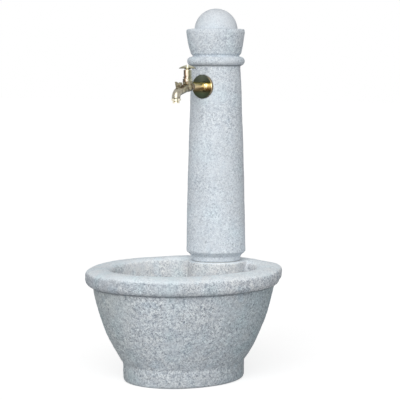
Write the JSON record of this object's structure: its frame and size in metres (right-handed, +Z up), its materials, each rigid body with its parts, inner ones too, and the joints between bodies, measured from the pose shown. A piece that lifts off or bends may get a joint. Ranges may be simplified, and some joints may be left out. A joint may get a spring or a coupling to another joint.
{
  "type": "garden fountain",
  "caption": "Free-standing stone garden fountain: an oval bowl with a rolled rim on a low foot, a turned column with a ball on top, and a brass screw-down tap.",
  "frame": {"origin": "centre of the oval foot, on the ground", "axes": "+Z up, front is -Y: the tap points to -Y over the bowl, and the column stands at the back, towards +Y; +X is to the right seen from the front"},
  "size_m": [0.515, 0.5724, 1],
  "materials": {
    "granite": "fine bush-hammered",
    "granite_light": "honed",
    "mortar": "rough",
    "brass": "polished",
    "steel": "satin",
    "copper": "drawn copper",
    "rubber": "matt",
    "fibre": "matt"
  },
  "bodies": {
    "fountain": {"basin": "granite", "column": "granite", "bedding_joint": "mortar", "column_dowels": "steel", "finial_ball": "granite_light", "finial_dowel": "steel", "inlet_coupling": "brass", "riser_pipe": "copper", "riser_olive": "copper", "riser_nut": "brass", "wall_elbow": "brass", "extension_nipple": "brass", "nipple_grout": "mortar", "rosette": "brass", "tap_body": "brass", "bonnet_washer": "fibre", "bonnet": "brass", "gland_packing": "rubber", "gland_nut": "brass", "nozzle_washer": "rubber", "outlet_nozzle": "brass", "drain_body": "brass", "drain_gasket": "rubber", "drain_washer": "fibre", "drain_nut": "brass", "strainer_grid": "steel", "strainer_screw": "steel"},
    "valve_jumper": {"jumper": "brass", "seat_washer": "rubber", "jumper_nut": "brass"},
    "handle_set": {"spindle": "brass", "tap_handle": "brass", "handle_screw": "brass"}
  },
  "joints": [
    {"name": "spindle_lift", "type": "slide", "parent": "fountain", "child": "valve_jumper", "axis": [0, 0, 1], "range_m": [0, 0.005]},
    {"name": "handle_turn", "type": "hinge", "parent": "valve_jumper", "child": "handle_set", "pos_m": [0, 0.0185, 0.83], "axis": [0, 0, 1], "range_deg": [0, 900]}
  ],
  "couplings": [
    {"joint": "handle_turn", "follows": "spindle_lift", "rad_per_m": 3141.6}
  ]
}
